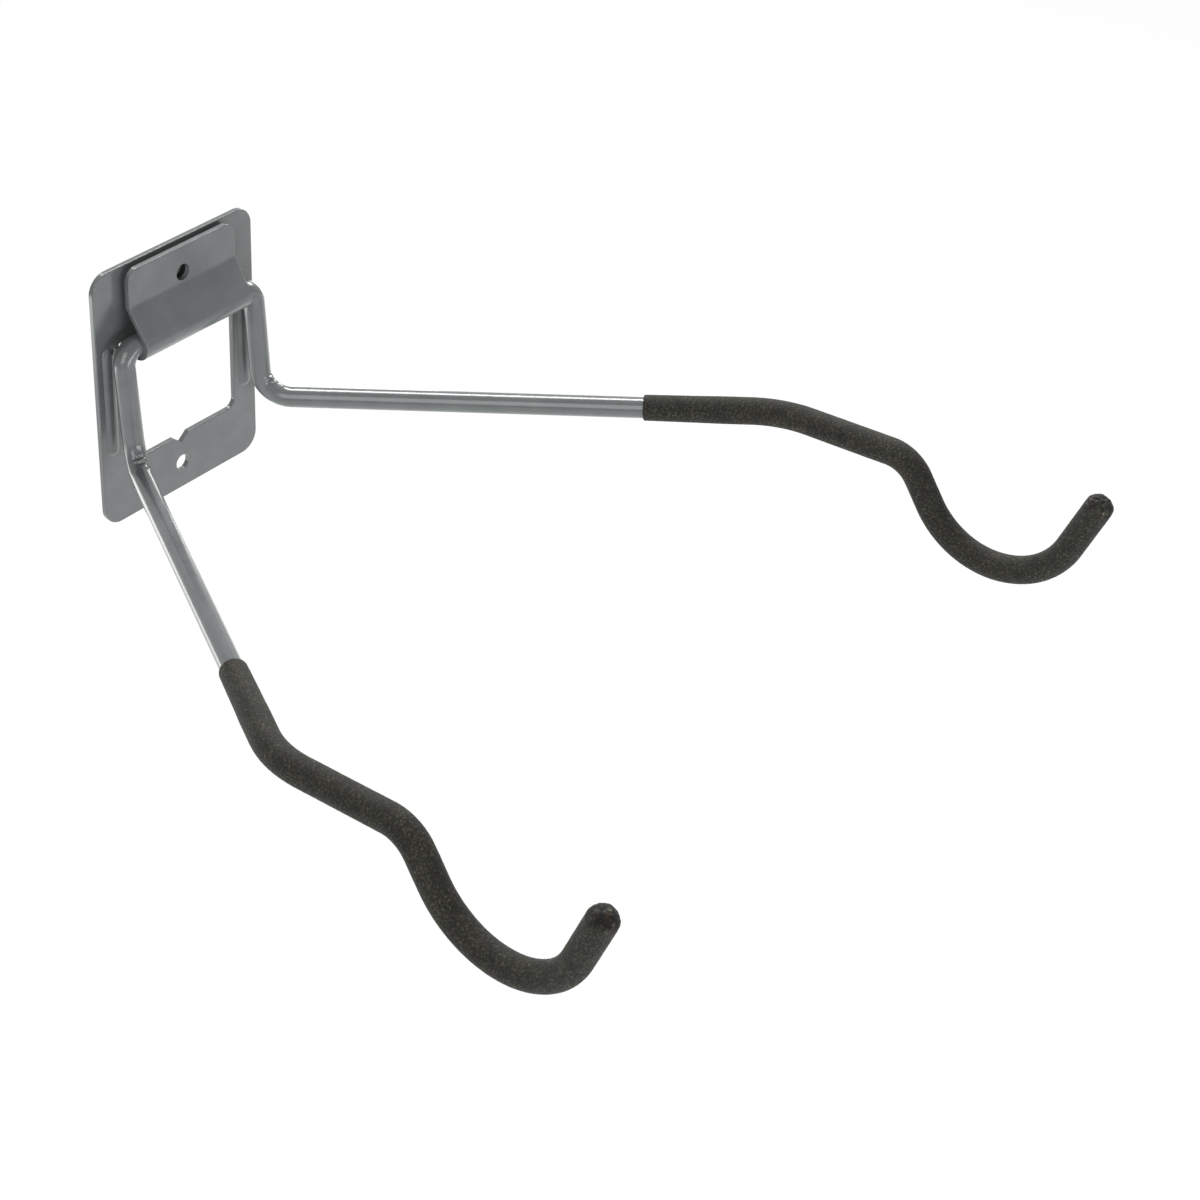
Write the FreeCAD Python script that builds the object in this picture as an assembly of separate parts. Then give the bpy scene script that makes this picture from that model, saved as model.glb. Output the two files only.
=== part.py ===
import FreeCAD, Part
import math
import os

# Fold-up garage utility hook, sizes in millimetres.
# Origin midway between the two screw holes, on the wall plane. +Z up, -Y out from the wall,
# so the back of the plate lies in the plane Y = 0 and the arms reach towards -Y.

# Back plate: one steel sheet, whose tongue is cut from the window and folded over the bar
sheet = 2.4                  # thickness of the sheet
plate_height = 131.0
plate_corner_r = 9.5
plate_edge_r = 0.5           # rolled edge of the blanked sheet, front side
hole_inset = 13.5            # from each end of the plate to the hole's centre
hole_d = 8.0

# Window below the bar, left open by the tongue
tongue_width = 66.0
slot_gap = 2.4               # cut each side of the tongue
side_strip = 13.9            # what stays of the plate beside the window
web_above_hole = 15.1        # from the lower hole's centre up to the window's bottom edge
window_corner_r = 4.4
notch_width = 9.5
notch_depth = 3.9

# Tongue: goes forward under the bar, round it, and up in front of the plate
tube_d = 10.0                # the bent tube of the frame
hinge_clearance = 0.05       # radial, bar in the fold
bar_drop = 22.8              # from the upper hole's centre down to the bar's axis
bar_standoff = 3.2           # from the plate's front face to the bar
root_fold_r = 2.5            # inside radius of the fold at the tongue's root
tongue_standoff = 3.1        # from the plate's front face to the tongue's flat
tongue_top_gap = 0.5         # tongue's top edge below the plate's top edge
tongue_corner_r = 6.5
crease_drop = 5.2            # from the upper hole's centre down to the crease
crease_r = 2.5               # inside radius of the crease

# Stiffening beads, pressed forward out of the plate beside the window, behind the legs
bead_width = 7.2
bead_height = 2.0
bead_length = 57.0
bead_z = 0.0

# Frame: one bent steel tube, symmetric about the plane X = 0
tube_wall = 1.2
corner_bend_r = 8.0          # bend from the bar into a leg, starting at the tongue's edge
leg_length = 57.9            # from the bar's axis to the lower bend's corner
leg_lean_deg = 4.7           # away from the wall, going down
lower_bend_r = 14.0
arm_length = 246.4           # from the lower bend's corner to the knee's corner
arm_splay_deg = 31.5
arm_rise_deg = 5.1
knee_r = 54.0
reach_length = 69.0          # from the knee's corner to the hook's first corner
reach_splay_deg = 0.7
reach_rise_deg = 3.9
hook_entry_r = 18.0
hook_splay_deg = 2.2
hook_drop_deg = 55.3         # slope of the hook's way down
hook_drop_length = 23.7      # from the first corner to the start of the cradle
cradle_r = 39.8              # radius of the cradle's centre line
hook_lift_deg = 68.7         # slope of the hook's way up
hook_lift_length = 28.5      # from the end of the cradle to the tube's end

# Sleeves: soft tubes with a closed, rounded tip
sleeve_wall = 1.5
sleeve_fit = 0.05            # radial, sleeve over the tube
sleeve_before_knee = 64.7    # bare end of the sleeve, measured back from the knee's corner
sleeve_tip = 3.0             # thickness of the closed end
sleeve_tip_r = 5.0
sleeve_lip_r = 0.8

# Values worked out from those above
front_y = -sheet
tube_r = tube_d / 2
bore_r = tube_r - tube_wall
hole_spacing = plate_height - 2 * hole_inset
upper_hole_z = hole_spacing / 2
lower_hole_z = -hole_spacing / 2
bar_y = front_y - bar_standoff - tube_r
bar_z = upper_hole_z - bar_drop
wrap_in_r = tube_r + hinge_clearance
wrap_out_r = wrap_in_r + sheet
root_z = bar_z - wrap_in_r + root_fold_r
window_half = tongue_width / 2 + slot_gap
plate_width = 2 * (window_half + side_strip)
window_bottom_z = lower_hole_z + web_above_hole
leg_x = tongue_width / 2 + corner_bend_r
bead_x = (window_half + plate_width / 2) / 2
bead_crest_r = (bead_width ** 2 / 4 + bead_height ** 2) / (2 * bead_height)
bead_axis_y = front_y - bead_height + bead_crest_r
past = sheet / 2             # how far cutting shapes reach past the faces they cut
tiny = 1e-6                  # two lengths closer than this are the same

X = FreeCAD.Vector(1, 0, 0)
Y = FreeCAD.Vector(0, 1, 0)
Z = FreeCAD.Vector(0, 0, 1)


def vec(x, y, z):
    return FreeCAD.Vector(x, y, z)


def box(x0, x1, y0, y1, z0, z1):
    return Part.makeBox(x1 - x0, y1 - y0, z1 - z0, vec(x0, y0, z0))


def edges_where(shape, test):
    return [e for e in shape.Edges if test(e)]


def line(a, b):
    return Part.LineSegment(a, b).toShape()


def circle_arc(centre, radius, start_deg, end_deg):
    """Arc in the plane X = 0. Angles are from +Y towards +Z, in degrees."""
    def at(deg):
        a = math.radians(deg)
        return vec(0, centre[0] + radius * math.cos(a), centre[1] + radius * math.sin(a))
    return Part.Arc(at(start_deg), at((start_deg + end_deg) / 2), at(end_deg)).toShape()


def ends(edge):
    return edge.valueAt(edge.FirstParameter), edge.valueAt(edge.LastParameter)


# Back plate and tongue

def plate_blank():
    """Flat sheet with rounded corners, two screw holes and rolled front edges."""
    plate = box(-plate_width / 2, plate_width / 2, front_y, 0, -plate_height / 2, plate_height / 2)
    corners = edges_where(plate, lambda e: abs(e.BoundBox.YLength - sheet) < tiny)
    plate = plate.makeFillet(plate_corner_r, corners)
    rim = edges_where(plate, lambda e: e.BoundBox.YMax < front_y + tiny)
    return plate.makeFillet(plate_edge_r, rim)


def window():
    """Opening left by the tongue: full width below the fold, two slots beside it."""
    low = box(-window_half, window_half, front_y - past, past, window_bottom_z, root_z)
    bottom = edges_where(low, lambda e: e.BoundBox.ZMax < window_bottom_z + tiny
                         and e.BoundBox.YLength > sheet)
    low = low.makeFillet(window_corner_r, bottom)
    for side in (-1, 1):
        middle = side * (window_half - slot_gap / 2)
        slot_end = Part.makeCylinder(slot_gap / 2, sheet + 2 * past, vec(middle, front_y - past, root_z), Y)
        low = low.fuse(slot_end)
    half = notch_width / 2
    tip = window_bottom_z - notch_depth
    top = window_bottom_z + past
    corners = [(-half, window_bottom_z), (0, tip), (half, window_bottom_z), (half, top), (-half, top)]
    outline = [vec(x, front_y - past, z) for x, z in corners + corners[:1]]
    notch = Part.Face(Part.makePolygon(outline)).extrude(Y * (sheet + 2 * past))
    return low.fuse(notch)


def capsule(x, radius):
    """Round bar along Z with ball ends, whose crest makes a bead of the stated length."""
    half = (bead_length - bead_width) / 2
    body = Part.makeCylinder(radius, 2 * half, vec(x, bead_axis_y, bead_z - half), Z)
    for end in (-half, half):
        body = body.fuse(Part.makeSphere(radius, vec(x, bead_axis_y, bead_z + end)))
    return body


def add_beads(plate):
    """Beads of even sheet thickness: a ridge in front and its hollow behind."""
    front = box(-plate_width, plate_width, front_y - 2 * bead_height, front_y + sheet / 2,
                -plate_height, plate_height)
    for side in (-1, 1):
        plate = plate.fuse(capsule(side * bead_x, bead_crest_r).common(front))
        plate = plate.cut(capsule(side * bead_x, bead_crest_r - sheet))
    return plate


def tongue():
    """The folded tongue, as a bent strip of even thickness, with rounded top corners."""
    flat_back_y = front_y - tongue_standoff
    flat_front_y = flat_back_y - sheet
    crease_z = upper_hole_z - crease_drop
    across = flat_front_y - bar_y
    up = crease_z - bar_z
    slope = math.atan2(across, up) + math.asin(wrap_out_r / math.hypot(across, up))
    slope_deg = math.degrees(slope)
    crease_out_r = crease_r + sheet
    # The crease's centre lies in front of both the slope and the flat
    crease_centre = (flat_front_y - crease_r, crease_z + crease_r * math.tan(slope / 2))
    top_z = plate_height / 2 - tongue_top_gap
    root_centre = (front_y - root_fold_r, root_z)
    bar_centre = (bar_y, bar_z)
    wrap_end = 180 - slope_deg

    outer = [circle_arc(root_centre, root_fold_r + sheet, 0, -90),
             circle_arc(bar_centre, wrap_out_r, 270, wrap_end),
             circle_arc(crease_centre, crease_r, -slope_deg, 0)]
    inner = [circle_arc(root_centre, root_fold_r, 0, -90),
             circle_arc(bar_centre, wrap_in_r, 270, wrap_end),
             circle_arc(crease_centre, crease_out_r, -slope_deg, 0)]
    outline = []
    for run in (outer, inner):
        for first, second in zip(run, run[1:]):
            outline.append(line(ends(first)[1], ends(second)[0]))
        outline += run
    outline.append(line(ends(outer[-1])[1], vec(0, flat_front_y, top_z)))
    outline.append(line(vec(0, flat_front_y, top_z), vec(0, flat_back_y, top_z)))
    outline.append(line(vec(0, flat_back_y, top_z), ends(inner[-1])[1]))
    outline.append(line(ends(outer[0])[0], ends(inner[0])[0]))
    profile = Part.Face(Part.Wire(Part.__sortEdges__(outline)))
    strip = profile.extrude(X * tongue_width)
    strip.translate(X * (-tongue_width / 2))
    corners = edges_where(strip, lambda e: e.BoundBox.ZMin > top_z - tiny and e.BoundBox.XLength < tiny)
    strip = strip.makeFillet(tongue_corner_r, corners)
    front = edges_where(strip, lambda e: e.BoundBox.ZMin > top_z - tongue_corner_r - tiny
                        and e.BoundBox.YMax < flat_front_y + tiny)
    return strip.makeFillet(plate_edge_r, front)


def window_rim(plate):
    """Front edges of the window, below the tongue's root."""
    return edges_where(plate, lambda e: e.BoundBox.YMax < front_y + tiny
                       and e.BoundBox.ZMin > lower_hole_z and e.BoundBox.ZMin < root_z - tiny
                       and e.BoundBox.ZMax < root_z + tiny
                       and max(-e.BoundBox.XMin, e.BoundBox.XMax) < window_half + tiny)


def back_plate():
    plate = add_beads(plate_blank()).cut(window())
    plate = plate.makeFillet(plate_edge_r, window_rim(plate))
    plate = plate.fuse(tongue())
    reach = 2 * sheet + tongue_standoff + 2 * past
    for z in (lower_hole_z, upper_hole_z):
        plate = plate.cut(Part.makeCylinder(hole_d / 2, reach, vec(0, past - reach, z), Y))
    return plate.removeSplitter()


# Frame and sleeves

def heading(splay_deg, rise_deg):
    """Unit direction: out from the wall, turned outward by splay and upward by rise."""
    s = math.radians(splay_deg)
    r = math.radians(rise_deg)
    return vec(math.sin(s) * math.cos(r), -math.cos(s) * math.cos(r), math.sin(r))


def rounded_corner(before, corner, after, radius):
    """Arc that rounds a corner of the path, as an edge."""
    a = (before - corner).normalize()
    b = (after - corner).normalize()
    half = a.getAngle(b) / 2
    cut = radius / math.tan(half)
    bisector = (a + b).normalize()
    centre = corner + bisector * (radius / math.sin(half))
    return Part.Arc(corner + a * cut, centre - bisector * radius, corner + b * cut).toShape()


def joined(runs):
    """Path edges: the given arcs and points, with straight runs between them."""
    path = []
    last = None
    for item in runs:
        first, final = (item, item) if isinstance(item, FreeCAD.Vector) else ends(item)
        if last is not None and (first - last).Length > tiny:
            path.append(line(last, first))
        if first is not final:
            path.append(item)
        last = final
    return path


lean = math.radians(leg_lean_deg)
bar_mid = vec(0, bar_y, bar_z)
top_corner = vec(leg_x, bar_y, bar_z)
low_corner = top_corner + vec(0, -math.sin(lean), -math.cos(lean)) * leg_length
knee = low_corner + heading(arm_splay_deg, arm_rise_deg) * arm_length
hook_corner = knee + heading(reach_splay_deg, reach_rise_deg) * reach_length
cradle_start = hook_corner + heading(hook_splay_deg, -hook_drop_deg) * hook_drop_length
cradle_centre = cradle_start + heading(hook_splay_deg, 90 - hook_drop_deg) * cradle_r
sleeve_start = knee - heading(arm_splay_deg, arm_rise_deg) * sleeve_before_knee


def cradle_point(deg):
    """Point of the cradle's arc where the path's slope is the given angle."""
    return cradle_centre - heading(hook_splay_deg, deg + 90) * cradle_r


cradle_end = cradle_point(hook_lift_deg)
tube_end = cradle_end + heading(hook_splay_deg, hook_lift_deg) * hook_lift_length
sleeve_end = tube_end + heading(hook_splay_deg, hook_lift_deg) * sleeve_tip


def outer_arcs():
    """Knee, hook entry and cradle, shared by the tube and its sleeve."""
    return [rounded_corner(low_corner, knee, hook_corner, knee_r),
            rounded_corner(knee, hook_corner, cradle_start, hook_entry_r),
            Part.Arc(cradle_start, cradle_point((hook_lift_deg - hook_drop_deg) / 2), cradle_end).toShape()]


def pipe(path, radius):
    """Solid of round section along a smooth path."""
    start = path[0].valueAt(path[0].FirstParameter)
    along = path[0].tangentAt(path[0].FirstParameter)
    section = Part.Wire(Part.makeCircle(radius, start, along))
    return Part.Wire(path).makePipeShell([section], True, False)


def mirrored(shape):
    return shape.mirror(vec(0, 0, 0), X)


def half_frame(radius):
    """Right half of the frame, from the middle of the bar to the tube's end."""
    path = joined([bar_mid, rounded_corner(bar_mid, top_corner, low_corner, corner_bend_r),
                   rounded_corner(top_corner, low_corner, knee, lower_bend_r)] + outer_arcs() + [tube_end])
    return pipe(path, radius)


def hook_frame():
    """Hollow tube, open at both ends under the sleeves."""
    tube = half_frame(tube_r).cut(half_frame(bore_r))
    return tube.fuse(mirrored(tube)).removeSplitter()


def sleeve():
    """Soft sleeve over the outer part of the right arm, closed and rounded at its tip."""
    outer_r = tube_r + sleeve_fit + sleeve_wall
    body = pipe(joined([sleeve_start] + outer_arcs() + [sleeve_end]), outer_r)

    def rim_at(point):
        return edges_where(body, lambda e: e.Curve.TypeId == "Part::GeomCircle"
                           and (e.Curve.Center - point).Length < sleeve_fit
                           and abs(e.Curve.Radius - outer_r) < sleeve_fit)
    body = body.makeFillet(sleeve_tip_r, rim_at(sleeve_end))
    body = body.makeFillet(sleeve_lip_r, rim_at(sleeve_start))
    hollow = pipe(joined([sleeve_start] + outer_arcs() + [tube_end]), tube_r + sleeve_fit)
    return body.cut(hollow)


def main():
    os.makedirs("parts", exist_ok=True)
    right = sleeve()
    nodes = {"back_plate": back_plate(), "hook_frame": hook_frame(),
             "sleeve_right": right, "sleeve_left": mirrored(right)}
    for name, shape in nodes.items():
        print(name, "solids", len(shape.Solids), "valid", shape.isValid(), "volume", round(shape.Volume, 1))
        shape.exportStep(os.path.join("parts", name + ".step"))


main()
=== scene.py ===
import math
import bpy
from mathutils import Matrix, Vector, noise


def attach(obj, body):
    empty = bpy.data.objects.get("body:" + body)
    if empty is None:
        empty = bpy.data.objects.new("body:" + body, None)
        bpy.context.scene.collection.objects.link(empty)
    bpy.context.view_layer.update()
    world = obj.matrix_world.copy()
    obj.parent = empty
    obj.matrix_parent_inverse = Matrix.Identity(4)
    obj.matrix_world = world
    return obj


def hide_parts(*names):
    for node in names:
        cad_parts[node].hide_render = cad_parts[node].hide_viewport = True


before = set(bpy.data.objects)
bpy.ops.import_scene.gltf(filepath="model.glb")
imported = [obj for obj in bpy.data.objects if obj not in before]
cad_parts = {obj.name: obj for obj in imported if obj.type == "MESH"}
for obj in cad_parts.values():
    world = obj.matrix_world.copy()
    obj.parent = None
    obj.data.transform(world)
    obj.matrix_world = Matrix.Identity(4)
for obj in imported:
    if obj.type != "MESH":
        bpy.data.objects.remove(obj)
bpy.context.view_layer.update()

# Sizes of the object are in millimetres. The camera, the studio and the materials are in metres.
MM = 0.001

# Camera, matched to the photograph (metres and degrees)
camera_place = Vector((-0.7433, -0.7896, 0.6545))
camera_azimuth = -54.030
camera_elevation = 35.918
camera_roll = 3.773
camera_lens = 81.22
camera_sensor = 36.0
camera_clip_start = 0.01

# Bent tube, the same sizes as in the frame
tube_d = 10.0
tube_wall = 1.2
tongue_half = 33.0
corner_bend_r = 8.0
leg_x = tongue_half + corner_bend_r
bar_y = -10.6
bar_z = 29.2
leg_length = 57.9
leg_lean_deg = 4.7
lower_bend_r = 14.0
arm_length = 246.4
arm_splay_deg = 31.5
arm_rise_deg = 5.1
knee_r = 54.0
reach_length = 69.0
reach_splay_deg = 0.7
reach_rise_deg = 3.9
hook_entry_r = 18.0
hook_splay_deg = 2.2
hook_drop_deg = 55.3
hook_drop_length = 23.7
cradle_r = 39.8
hook_lift_deg = 68.7
hook_lift_length = 28.5

# Bends are counted from the bar outwards: 0 is the corner, 1 the elbow, and the rest lie in the sleeve.
# The elbows are bent tightly, so the wall inside them is dented and puckered. Lengths, places and the
# pitch along a bend are shares of it, from the leg to the arm, and the wander is a share of the pitch.
elbow = 1
corner_flat = 0.30
dent_depth = 0.55
dent_length = 0.26
pucker_height = 0.80
pucker_half_width = math.radians(30)
pucker_pitch = {"right": 0.21, "left": 0.19}
pucker_length = {"right": 0.20, "left": 0.14}
pucker_place = {"right": 0.24, "left": 0.56}
pucker_turn = {"right": math.radians(16), "left": math.radians(14)}
pucker_wander = 0.12
pucker_wander_waves = 3

# Sleeves: soft granular tubes with a rounded lip and a closed tip, flatter on the right. The seeds
# shift the noise, so that the two sleeves differ.
sleeve_wall = 1.5
sleeve_fit = 0.05
sleeve_bore_r = tube_d / 2 + sleeve_fit
sleeve_full_r = sleeve_bore_r + sleeve_wall
sleeve_before_knee = 64.7
sleeve_lip_r = 0.8
sleeve_tip = 3.0
sleeve_tip_r = {"right": 4.2, "left": 5.0}
sleeve_seed = {"right": 3.0, "left": 11.0}
mouth_taper = 0.35
mouth_length = 34.0
mouth_curve = 0.7
grain_depth = 0.15
grain_size = 0.75
swell_depth = 0.10
swell_size = 14.0

# The closed tips are lumpy and creased. Their colour carries painted light: lumps get a painted
# highlight and are paler, creases get painted shade and are darker
lump_depth = 0.38
lump_lift = 0.22
lump_size = 1.7
painted_lump_shade = 7.0
lump_reach = 9.0
lump_fade = 3.5
crease_size = 3.2
crease_width = 0.22

# The left tip ends in a darker, browner patch. Its place is given from the tip, on the right sleeve
# that the left one is mirrored from.
patched_side = "left"
patch_place = Vector((2.05, -1.23, -0.5))
patch_r = 4.1
patch_fade = 1.2
patch_edge_depth = 1.1
patch_edge_size = 1.6

# Fineness of the meshes: the spacing of rows of points, and the points in a row
tube_segments = 64
tube_straight_step = 6.0
shown_bend_step = 0.45
hidden_bend_step = 2.0
least_bend_rows = 4
sleeve_segments = 72
sleeve_step = 0.55
bore_stride = 4
lip_steps = 5
tip_steps = 14
end_face_parts = (0.6, 0.3)

# Colours of the surfaces, linear
enamel_dark = (0.091, 0.099, 0.100)
enamel_pale = (0.110, 0.119, 0.120)
foam_pit = (0.0077, 0.0073, 0.0052)
foam_body = (0.0205, 0.0196, 0.0150)
foam_speck = (0.082, 0.0785, 0.0615)
foam_shade = (0.66, 0.66, 0.66)
foam_clear = (1.0, 1.0, 0.98)
patch_tint = (0.34, 0.25, 0.22)
no_tint = (1, 1, 1)
white = (1, 1, 1, 1)

# Studio. The floor and the world look white, and give little light to the object. The glint lamp is
# aimed at the start of the left arm.
floor_z = -0.30
floor_size = 12.0
floor_grey = 0.82
floor_roughness = 0.9
floor_whitening = 0.93
world_fill = 0.15
object_middle = (0, -0.2, 0)
glint_target = (-0.062, -0.049, -0.025)


# Path of the tube's centre line

def heading(splay_deg, rise_deg):
    """Direction away from the wall, turned sideways and upwards."""
    s = math.radians(splay_deg)
    r = math.radians(rise_deg)
    return Vector((math.sin(s) * math.cos(r), -math.cos(s) * math.cos(r), math.sin(r)))


def half_path():
    """Corners of the right half, from the bar's middle to the tube's end, and their bend radii."""
    lean = math.radians(leg_lean_deg)
    down = Vector((0, -math.sin(lean), -math.cos(lean)))
    top = Vector((leg_x, bar_y, bar_z))
    low = top + down * leg_length
    knee = low + heading(arm_splay_deg, arm_rise_deg) * arm_length
    hook = knee + heading(reach_splay_deg, reach_rise_deg) * reach_length
    turn = math.radians(hook_drop_deg + hook_lift_deg)
    tangent = cradle_r * math.tan(turn / 2)
    cradle = hook + heading(hook_splay_deg, -hook_drop_deg) * (hook_drop_length + tangent)
    end = cradle + heading(hook_splay_deg, hook_lift_deg) * (tangent + hook_lift_length)
    return ([Vector((0, bar_y, bar_z)), top, low, knee, hook, cradle, end],
            [corner_bend_r, lower_bend_r, knee_r, hook_entry_r, cradle_r])


def sleeve_path():
    """Corners of the right sleeve, from its open end to its tip, and their bend radii."""
    corners, radii = half_path()
    knee = corners[3]
    start = knee - heading(arm_splay_deg, arm_rise_deg) * sleeve_before_knee
    end = corners[-1] + heading(hook_splay_deg, hook_lift_deg) * sleeve_tip
    return [start] + corners[3:-1] + [end], radii[2:]


class Ring:
    """One station of a swept tube: its place and the way along. In a bend it also has the bend's
    number, the part of the bend that lies behind it, and the way to the bend's inside."""

    def __init__(self, place, along, bend=None, part=0.0, inward=None):
        self.place = place
        self.along = along
        self.bend = bend
        self.part = part
        self.inward = inward


def straight_rings(start, end, spacing):
    """Stations from the start up to the end, which is left to the next stretch."""
    along = (end - start).normalized()
    count = max(1, math.ceil((end - start).length / spacing))
    return [Ring(start.lerp(end, i / count), along) for i in range(count)]


def path_rings(corners, radii, straight_step, bend_steps):
    """Stations along straight runs joined by tangent arcs."""
    rings = []
    start = corners[0]
    for i, (radius, bend_step) in enumerate(zip(radii, bend_steps)):
        before, corner, after = corners[i], corners[i + 1], corners[i + 2]
        a = (before - corner).normalized()
        b = (after - corner).normalized()
        half = a.angle(b) / 2
        cut = radius / math.tan(half)
        centre = corner + (a + b).normalized() * (radius / math.sin(half))
        arc_start = corner + a * cut
        turn = math.pi - 2 * half
        axis = (-a).cross(b).normalized()
        rings += straight_rings(start, arc_start, straight_step)
        count = max(least_bend_rows, math.ceil(radius * turn / bend_step))
        for k in range(count):
            spin = Matrix.Rotation(turn * k / count, 3, axis)
            spoke = spin @ (arc_start - centre)
            rings.append(Ring(centre + spoke, spin @ (-a), i, k / count, -spoke.normalized()))
        start = corner + b * cut
    rings += straight_rings(start, corners[-1], straight_step)
    rings.append(Ring(corners[-1].copy(), (corners[-1] - start).normalized()))
    return rings


def mirrored(vector):
    return Vector((-vector.x, vector.y, vector.z))


def mirrored_ring(ring):
    """The same station on the other side, for a path that is followed the other way."""
    place, along = mirrored(ring.place), -mirrored(ring.along)
    if ring.bend is None:
        return Ring(place, along)
    return Ring(place, along, ring.bend, 1 - ring.part, mirrored(ring.inward))


def cross_frames(rings):
    """Two directions across each station, carried along without twist."""
    side = rings[0].along.orthogonal().normalized()
    crosses = []
    for ring in rings:
        side = (side - ring.along * side.dot(ring.along)).normalized()
        crosses.append((side.copy(), ring.along.cross(side)))
    return crosses


def loop_points(ring, cross, radius_at, segments):
    """Points round a station. The radius is worked out from the station and each spoke."""
    side, other = cross
    points = []
    for k in range(segments):
        a = 2 * math.pi * k / segments
        spoke = side * math.cos(a) + other * math.sin(a)
        points.append(ring.place + spoke * radius_at(ring, spoke))
    return points


def skin(name, rows, caps=None):
    """Closed mesh over rows of equal length, each row a loop of points. With two caps, points that
    close the first and the last row, it is a bag. Without them the last row joins the first."""
    count = len(rows[0])
    verts = [p * MM for row in rows for p in row]
    faces = []
    for i in range(len(rows) - (1 if caps else 0)):
        j = (i + 1) % len(rows)
        for k in range(count):
            m = (k + 1) % count
            faces.append((i * count + k, i * count + m, j * count + m, j * count + k))
    if caps:
        first_cap, last_row = len(verts), (len(rows) - 1) * count
        verts += [p * MM for p in caps]
        for k in range(count):
            m = (k + 1) % count
            faces.append((first_cap, m, k))
            faces.append((last_row + k, last_row + m, first_cap + 1))
    mesh = bpy.data.meshes.new(name)
    mesh.from_pydata([tuple(v) for v in verts], [], faces)
    mesh.validate()
    mesh.update()
    for poly in mesh.polygons:
        poly.use_smooth = True
    obj = bpy.data.objects.new(name, mesh)
    bpy.context.scene.collection.objects.link(obj)
    return obj


# Tube

def bend_shape(ring, spoke):
    """Change of the tube's radius in a bend: corners are a little flat inside, elbows puckered."""
    if ring.bend is None or ring.bend > elbow:
        return 0.0
    inner = ring.inward.dot(spoke)
    if ring.bend < elbow:
        return -corner_flat * math.sin(math.pi * ring.part) * max(0.0, inner) ** 2
    side = "right" if ring.place.x > 0 else "left"
    part = ring.part if side == "right" else 1 - ring.part
    across = ring.along.cross(ring.inward).dot(spoke)
    around = math.atan2(across, inner) - pucker_turn[side]
    at = part - pucker_place[side]
    fade = math.sqrt(max(0.0, math.sin(math.pi * part)))
    window = math.exp(-(around / pucker_half_width) ** 2) * fade
    dent = dent_depth * math.exp(-(at / dent_length) ** 2)
    wander = pucker_wander * math.sin(pucker_wander_waves * around)
    wave = math.cos(2 * math.pi * (at / pucker_pitch[side] + wander))
    pucker = pucker_height * wave * math.exp(-(at / pucker_length[side]) ** 2)
    return window * (pucker - dent)


def tube_mesh():
    """Both halves of the tube in one sweep, with its bore."""
    corners, radii = half_path()
    bend_steps = [shown_bend_step if i <= elbow else hidden_bend_step for i in range(len(radii))]
    right = path_rings(corners, radii, tube_straight_step, bend_steps)
    left = [mirrored_ring(ring) for ring in reversed(right)]
    rings = left[:-1] + right
    stations = list(zip(rings, cross_frames(rings)))
    outer_r = tube_d / 2
    bore_r = outer_r - tube_wall
    outer = [loop_points(r, c, lambda s, d: outer_r + bend_shape(s, d), tube_segments)
             for r, c in stations]
    bore = [loop_points(r, c, lambda s, d: bore_r + bend_shape(s, d), tube_segments)
            for r, c in stations]
    return skin("frame_tube", outer + bore[::-1])


# Sleeves

def rounded(depth, corner_r):
    """How far a rounded rim lies inside the full radius, at a depth from the end."""
    if depth >= corner_r:
        return 0.0
    return corner_r - math.sqrt(max(0.0, corner_r ** 2 - (corner_r - depth) ** 2))


def stretched(at):
    """How much thinner the foam is pulled, at a length from the open end."""
    return mouth_taper * max(0.0, 1 - at / mouth_length) ** mouth_curve


def grain(point, seed):
    """Unevenness of the soft surface, always inward from the full radius."""
    fine = noise.noise(point / grain_size + Vector((seed, 0, 0)))
    soft = noise.noise(point / swell_size + Vector((0, seed, 0)))
    return -grain_depth * (0.5 - 0.5 * fine) - swell_depth * (0.5 - 0.5 * soft)


def tip_relief_and_painted_shade(point, seed, tip):
    """Lumps and creases near the tip: above 0 on a lump, below 0 in a crease, 0 further away. It shapes
    the tip and also sets the painted highlight and painted shade of the foam's colour.
    """
    lump = noise.noise(point / lump_size + Vector((0, 0, seed)))
    fold = noise.noise(point / crease_size + Vector((seed, seed, 0)))
    crease = max(0.0, 1 - abs(fold) / crease_width)
    near = min(1.0, max(0.0, (lump_reach - (point - tip).length) / lump_fade))
    return near * (lump_lift + lump - crease)


def in_patch(point, tip):
    """1 inside the dark patch and 0 outside it, with an uneven edge."""
    edge = patch_edge_depth * noise.noise(point / patch_edge_size)
    away = (point - tip - patch_place).length + edge
    return min(1.0, max(0.0, (patch_r - away) / patch_fade))


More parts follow.
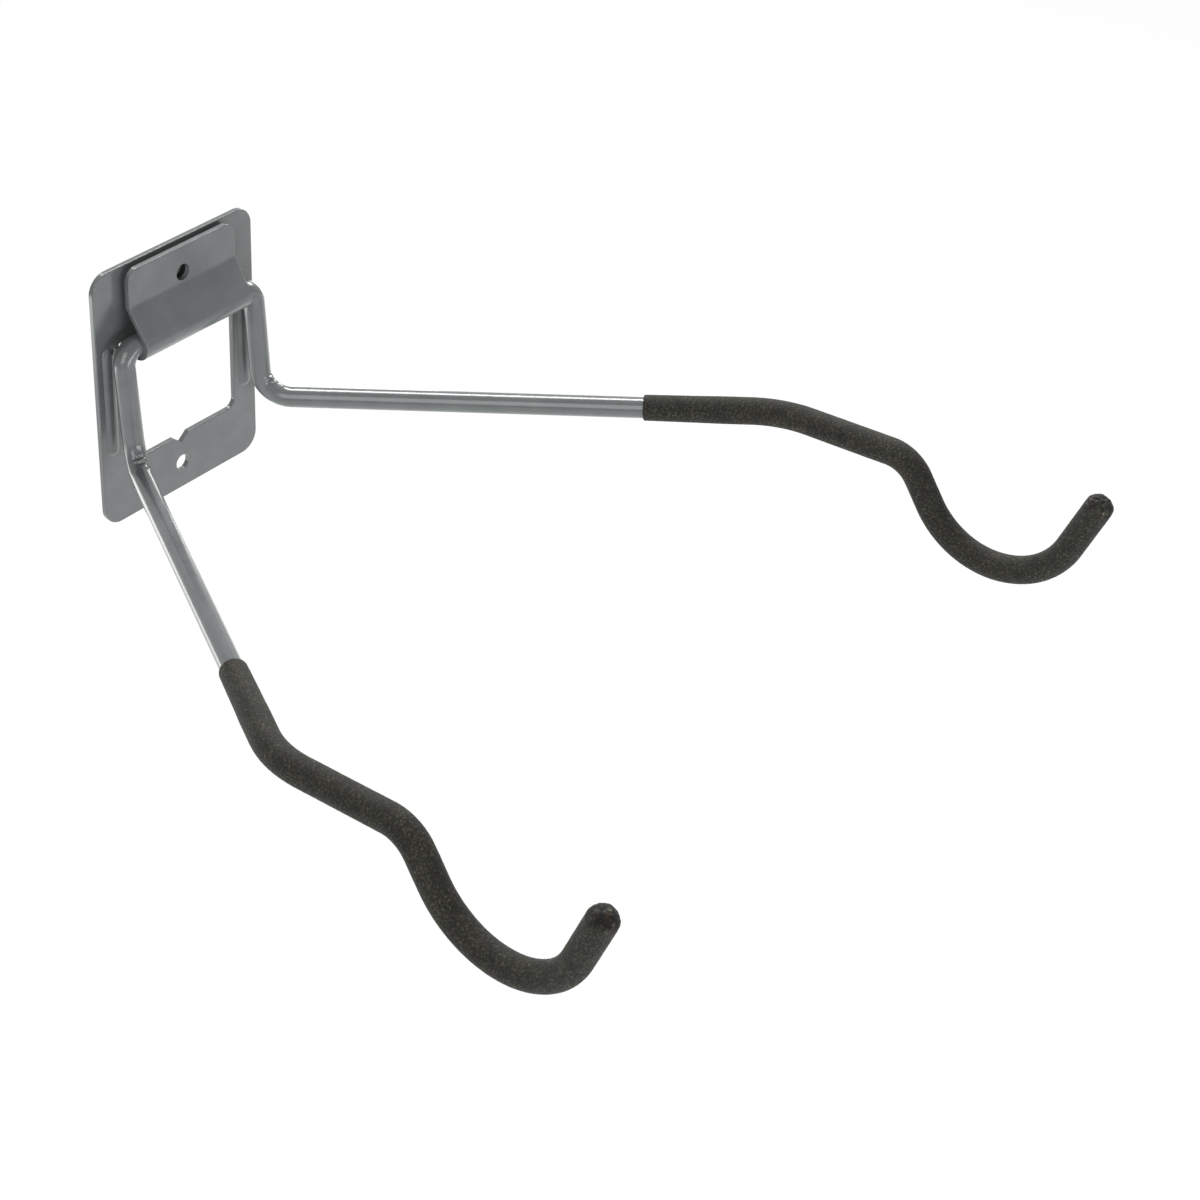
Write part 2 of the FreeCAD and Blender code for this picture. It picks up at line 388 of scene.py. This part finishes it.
class SleeveRows:
    """Rows of points round the right sleeve, with the tip and the grain of the side it is for."""

    def __init__(self, side):
        corners, radii = sleeve_path()
        self.rings = path_rings(corners, radii, sleeve_step, [sleeve_step] * len(radii))
        self.crosses = cross_frames(self.rings)
        self.lengths = [0.0]
        for a, b in zip(self.rings, self.rings[1:]):
            self.lengths.append(self.lengths[-1] + (b.place - a.place).length)
        self.stations = list(zip(self.rings, self.crosses, self.lengths))
        self.mouth = self.rings[0]
        self.tip = self.rings[-1]
        self.bore_end = self.tip_ring(sleeve_tip)
        self.seed = sleeve_seed[side]
        self.tip_r = sleeve_tip_r[side]

    def tip_ring(self, depth):
        """Station at a depth below the tip's end face."""
        return Ring(self.tip.place - self.tip.along * depth, self.tip.along)

    def lumpy(self, point, outward):
        """A point of the outside, moved in or out where the tip is uneven."""
        return point + outward * lump_depth * tip_relief_and_painted_shade(point, self.seed, self.tip.place)

    def plain_row(self, ring, cross, radius):
        return loop_points(ring, cross, lambda s, d: radius, sleeve_segments)

    def outer_row(self, ring, cross, inset, slope=0.0):
        """Row on the outside. The slope is 0 on the sleeve's side and a right angle on its end."""
        def radius_at(station, spoke):
            return sleeve_full_r - inset + grain(station.place + spoke * sleeve_full_r, self.seed)

        row = []
        for point in loop_points(ring, cross, radius_at, sleeve_segments):
            spoke = (point - ring.place).normalized()
            row.append(self.lumpy(point, spoke * math.cos(slope) + ring.along * math.sin(slope)))
        return row

    def bore_rows(self):
        """From the closed end of the bore to the open one."""
        rows = [self.plain_row(self.bore_end, self.crosses[-1], sleeve_bore_r / 2),
                self.plain_row(self.bore_end, self.crosses[-1], sleeve_bore_r)]
        for ring, cross, at in self.stations[::-bore_stride]:
            if sleeve_lip_r < at < self.lengths[-1] - sleeve_tip:
                rows.append(self.plain_row(ring, cross, sleeve_bore_r))
        rows.append(self.plain_row(self.mouth, self.crosses[0], sleeve_bore_r))
        return rows

    def mouth_rows(self):
        """The rounded lip round the open end."""
        rows = []
        for k in range(lip_steps):
            depth = sleeve_lip_r * (1 - math.cos(math.pi / 2 * k / lip_steps))
            ring = Ring(self.mouth.place + self.mouth.along * depth, self.mouth.along)
            inset = stretched(depth) + rounded(depth, sleeve_lip_r)
            rows.append(self.outer_row(ring, self.crosses[0], inset))
        return rows

    def side_rows(self):
        return [self.outer_row(ring, cross, stretched(at)) for ring, cross, at in self.stations
                if at >= sleeve_lip_r and self.lengths[-1] - at > self.tip_r]

    def tip_rows(self):
        """The rounded corner of the closed tip and its flat end face."""
        rows = []
        for k in range(tip_steps + 1):
            slope = math.pi / 2 * k / tip_steps
            depth = self.tip_r * (1 - math.sin(slope))
            inset = rounded(depth, self.tip_r)
            rows.append(self.outer_row(self.tip_ring(depth), self.crosses[-1], inset, slope))
        for part in end_face_parts:
            flat = self.plain_row(self.tip, self.crosses[-1], (sleeve_full_r - self.tip_r) * part)
            rows.append([self.lumpy(point, self.tip.along) for point in flat])
        return rows

    def caps(self):
        """Points that close the bore's end and the tip."""
        return self.bore_end.place, self.lumpy(self.tip.place, self.tip.along)


def sleeve_mesh(side):
    """One sleeve. Its points carry the tip's lumps and creases, which set a painted highlight and
    painted shade in the foam's colour, and the dark patch for the foam's colour.
    """
    parts = SleeveRows(side)
    rows = parts.bore_rows() + parts.mouth_rows() + parts.side_rows() + parts.tip_rows()
    obj = skin("foam_sleeve_" + side, rows, parts.caps())
    tip = parts.tip.place
    # These values paint a highlight on the tip's lumps and shade into its creases, in the foam's colour
    painted_shades = obj.data.attributes.new("tip_relief_and_painted_shade", "FLOAT", "POINT")
    for vert, painted_shade in zip(obj.data.vertices, painted_shades.data):
        painted_shade.value = tip_relief_and_painted_shade(vert.co / MM, parts.seed, tip)
    marks = obj.data.attributes.new("tip_patch", "FLOAT", "POINT")
    if side == patched_side:
        for vert, mark in zip(obj.data.vertices, marks.data):
            mark.value = in_patch(vert.co / MM, tip)
    if side == "left":
        obj.data.transform(Matrix.Scale(-1, 4, (1, 0, 0)))
        obj.data.flip_normals()
    return obj


# Materials

def new_material(name):
    """A material with one shader, its node tree and the shader."""
    mat = bpy.data.materials.new(name)
    mat.use_nodes = True
    nodes = mat.node_tree.nodes
    nodes.clear()
    out = nodes.new("ShaderNodeOutputMaterial")
    shader = nodes.new("ShaderNodeBsdfPrincipled")
    mat.node_tree.links.new(shader.outputs["BSDF"], out.inputs["Surface"])
    return mat, mat.node_tree, shader


def noise_node(tree, coords, scale, detail, roughness=0.5):
    node = tree.nodes.new("ShaderNodeTexNoise")
    node.inputs["Scale"].default_value = scale
    node.inputs["Detail"].default_value = detail
    node.inputs["Roughness"].default_value = roughness
    tree.links.new(coords.outputs["Object"], node.inputs["Vector"])
    return node


def attribute_node(tree, name):
    node = tree.nodes.new("ShaderNodeAttribute")
    node.attribute_name = name
    return node


def ramp_node(tree, source, stops):
    """Colour ramp over a node's factor. Each stop is a place and a colour."""
    node = tree.nodes.new("ShaderNodeValToRGB")
    ramp = node.color_ramp
    for i, (place, colour) in enumerate(stops):
        stop = ramp.elements[i] if i < 2 else ramp.elements.new(place)
        stop.position = place
        stop.color = (*colour, 1)
    tree.links.new(source.outputs["Fac"], node.inputs["Fac"])
    return node


def multiply_node(tree, first, second):
    node = tree.nodes.new("ShaderNodeMixRGB")
    node.blend_type = "MULTIPLY"
    node.inputs["Fac"].default_value = 1.0
    tree.links.new(first.outputs["Color"], node.inputs["Color1"])
    tree.links.new(second.outputs["Color"], node.inputs["Color2"])
    return node


def power_node(tree, base, exponent):
    node = tree.nodes.new("ShaderNodeMath")
    node.operation = "POWER"
    node.inputs[0].default_value = base
    tree.links.new(exponent.outputs["Fac"], node.inputs[1])
    return node


def scale_node(tree, colour, factor):
    node = tree.nodes.new("ShaderNodeVectorMath")
    node.operation = "SCALE"
    tree.links.new(colour.outputs["Color"], node.inputs[0])
    tree.links.new(factor.outputs["Value"], node.inputs["Scale"])
    return node


def add_bump(tree, shader, source, strength, distance):
    node = tree.nodes.new("ShaderNodeBump")
    node.inputs["Strength"].default_value = strength
    node.inputs["Distance"].default_value = distance
    tree.links.new(source.outputs["Fac"], node.inputs["Height"])
    tree.links.new(node.outputs["Normal"], shader.inputs["Normal"])


def paint_material():
    """Mid-grey baked enamel: satin, with faint mottling and a fine orange peel."""
    mat, tree, shader = new_material("grey_enamel")
    coords = tree.nodes.new("ShaderNodeTexCoord")
    mottle = noise_node(tree, coords, scale=90.0, detail=4.0)
    colour = ramp_node(tree, mottle, [(0.30, enamel_dark), (0.70, enamel_pale)])
    tree.links.new(colour.outputs["Color"], shader.inputs["Base Color"])
    sheen = noise_node(tree, coords, scale=240.0, detail=3.0)
    gloss = tree.nodes.new("ShaderNodeMapRange")
    gloss.inputs["To Min"].default_value = 0.16
    gloss.inputs["To Max"].default_value = 0.22
    tree.links.new(sheen.outputs["Fac"], gloss.inputs["Value"])
    tree.links.new(gloss.outputs["Result"], shader.inputs["Roughness"])
    peel = noise_node(tree, coords, scale=700.0, detail=2.0)
    add_bump(tree, shader, peel, strength=0.03, distance=0.0002)
    shader.inputs["Specular IOR Level"].default_value = 0.45
    return mat


def foam_material():
    """Dark brownish-grey dipped foam: matt and granular, with paler specks, a painted highlight on the
    tips' lumps and painted shade in their creases.
    """
    mat, tree, shader = new_material("dark_foam")
    coords = tree.nodes.new("ShaderNodeTexCoord")
    speckle = noise_node(tree, coords, scale=1050.0, detail=3.0, roughness=0.6)
    fine = ramp_node(tree, speckle, [(0.36, foam_pit), (0.54, foam_body), (0.72, foam_speck)])
    clouds = noise_node(tree, coords, scale=120.0, detail=2.0)
    broad = ramp_node(tree, clouds, [(0.35, foam_shade), (0.65, foam_clear)])
    patch = ramp_node(tree, attribute_node(tree, "tip_patch"), [(0.0, no_tint), (1.0, patch_tint)])
    colour = multiply_node(tree, multiply_node(tree, fine, broad), patch)
    # Painted light: the colour is made paler on the tips' lumps and darker in their creases
    painted_shade = power_node(tree, painted_lump_shade, attribute_node(tree, "tip_relief_and_painted_shade"))
    shaded = scale_node(tree, colour, painted_shade)
    tree.links.new(shaded.outputs["Vector"], shader.inputs["Base Color"])
    pits = noise_node(tree, coords, scale=1300.0, detail=2.0)
    add_bump(tree, shader, pits, strength=0.5, distance=0.0003)
    shader.inputs["Roughness"].default_value = 0.75
    shader.inputs["Specular IOR Level"].default_value = 0.2
    return mat


def assign(obj, mat):
    """Gives the whole object one material."""
    if not obj.material_slots:
        obj.data.materials.append(mat)
    for s in obj.material_slots:
        s.material = mat


# Studio: pale floor, white surroundings and soft lamps

def seen_directly(tree):
    """1 for camera, glossy and transmission rays, 0 for the light that falls on surfaces."""
    path = tree.nodes.new("ShaderNodeLightPath")
    total = path.outputs["Is Camera Ray"]
    for name in ("Is Glossy Ray", "Is Transmission Ray"):
        either = tree.nodes.new("ShaderNodeMath")
        either.operation = "MAXIMUM"
        tree.links.new(total, either.inputs[0])
        tree.links.new(path.outputs[name], either.inputs[1])
        total = either.outputs[0]
    return total


def floor_material():
    """Pale and matt, and whitened where it is seen, so that only a trace of shadow shows."""
    mat, tree, shader = new_material("pale_floor")
    shader.inputs["Base Color"].default_value = (floor_grey, floor_grey, floor_grey, 1)
    shader.inputs["Roughness"].default_value = floor_roughness
    shader.inputs["Specular IOR Level"].default_value = 0.0
    glow = tree.nodes.new("ShaderNodeEmission")
    glow.inputs["Color"].default_value = white
    glow.inputs["Strength"].default_value = 1.0
    part = tree.nodes.new("ShaderNodeMath")
    part.operation = "MULTIPLY"
    part.inputs[1].default_value = floor_whitening
    mix = tree.nodes.new("ShaderNodeMixShader")
    tree.links.new(seen_directly(tree), part.inputs[0])
    tree.links.new(part.outputs[0], mix.inputs[0])
    tree.links.new(shader.outputs["BSDF"], mix.inputs[1])
    tree.links.new(glow.outputs["Emission"], mix.inputs[2])
    out = next(n for n in tree.nodes if n.type == "OUTPUT_MATERIAL")
    tree.links.new(mix.outputs["Shader"], out.inputs["Surface"])
    return mat


def build_floor():
    half = floor_size / 2
    corners = [(x * half, y * half, floor_z) for x, y in ((-1, -1), (1, -1), (1, 1), (-1, 1))]
    mesh = bpy.data.meshes.new("floor")
    mesh.from_pydata(corners, [], [(0, 1, 2, 3)])
    mesh.materials.append(floor_material())
    floor = bpy.data.objects.new("floor", mesh)
    bpy.context.scene.collection.objects.link(floor)


def build_world():
    world = bpy.data.worlds.new("studio")
    bpy.context.scene.world = world
    world.use_nodes = True
    tree = world.node_tree
    tree.nodes.clear()
    out = tree.nodes.new("ShaderNodeOutputWorld")
    background = tree.nodes.new("ShaderNodeBackground")
    background.inputs["Color"].default_value = white
    level = tree.nodes.new("ShaderNodeMapRange")
    level.inputs["To Min"].default_value = world_fill
    level.inputs["To Max"].default_value = 1.0
    tree.links.new(seen_directly(tree), level.inputs["Value"])
    tree.links.new(level.outputs["Result"], background.inputs["Strength"])
    tree.links.new(background.outputs["Background"], out.inputs["Surface"])


def add_lamp(name, place, size, power, target=object_middle):
    """Rectangular lamp that faces the target. The size is in metres and the power in watts."""
    lamp = bpy.data.lights.new(name, "AREA")
    lamp.shape = "RECTANGLE"
    lamp.size, lamp.size_y = size
    lamp.energy = power
    obj = bpy.data.objects.new(name, lamp)
    obj.location = place
    obj.rotation_euler = (Vector(target) - Vector(place)).to_track_quat("-Z", "Y").to_euler()
    bpy.context.scene.collection.objects.link(obj)


def build_lamps():
    add_lamp("left_softbox", (-1.31, -0.60, 0.80), (0.95, 1.20), 15)
    add_lamp("low_front_panel", (0.1, -1.75, -0.05), (1.3, 0.4), 12)
    add_lamp("light_table", (0, -0.2, floor_z + 0.005), (2.4, 2.4), 10.5)
    add_lamp("low_back_panel", (-0.20, 0.48, floor_z + 0.03), (0.90, 0.26), 2.4)
    add_lamp("back_strip", (0.52, 0.50, 1.15), (0.80, 0.42), 27)
    add_lamp("window_glint", (0.246, 0.112, -0.046), (0.09, 0.07), 0.075, glint_target)
    add_lamp("right_softbox", (1.18, 0.10, 0.55), (0.60, 0.30), 8)


def build_camera():
    azimuth = math.radians(camera_azimuth)
    elevation = math.radians(camera_elevation)
    roll = math.radians(camera_roll)
    right = Vector((math.cos(azimuth), math.sin(azimuth), 0))
    back = Vector((math.sin(azimuth) * math.cos(elevation), -math.cos(azimuth) * math.cos(elevation),
                   math.sin(elevation)))
    up = back.cross(right)
    x_axis = right * math.cos(roll) + up * math.sin(roll)
    y_axis = up * math.cos(roll) - right * math.sin(roll)
    data = bpy.data.cameras.new("camera")
    data.lens = camera_lens
    data.sensor_width = camera_sensor
    data.clip_start = camera_clip_start
    obj = bpy.data.objects.new("camera", data)
    turn = Matrix((x_axis, y_axis, back)).transposed().to_4x4()
    obj.matrix_world = Matrix.Translation(camera_place) @ turn
    bpy.context.scene.collection.objects.link(obj)
    bpy.context.scene.camera = obj


def main():
    build_camera()
    build_world()
    build_floor()
    build_lamps()
    paint = paint_material()
    foam = foam_material()
    assign(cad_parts["back_plate"], paint)
    tube = tube_mesh()
    assign(tube, paint)
    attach(tube, "folding_frame")
    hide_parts("hook_frame")
    for side in ("right", "left"):
        piece = sleeve_mesh(side)
        assign(piece, foam)
        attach(piece, "folding_frame")
        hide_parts("sleeve_" + side)
    bpy.context.scene.view_settings.view_transform = "Standard"


main()
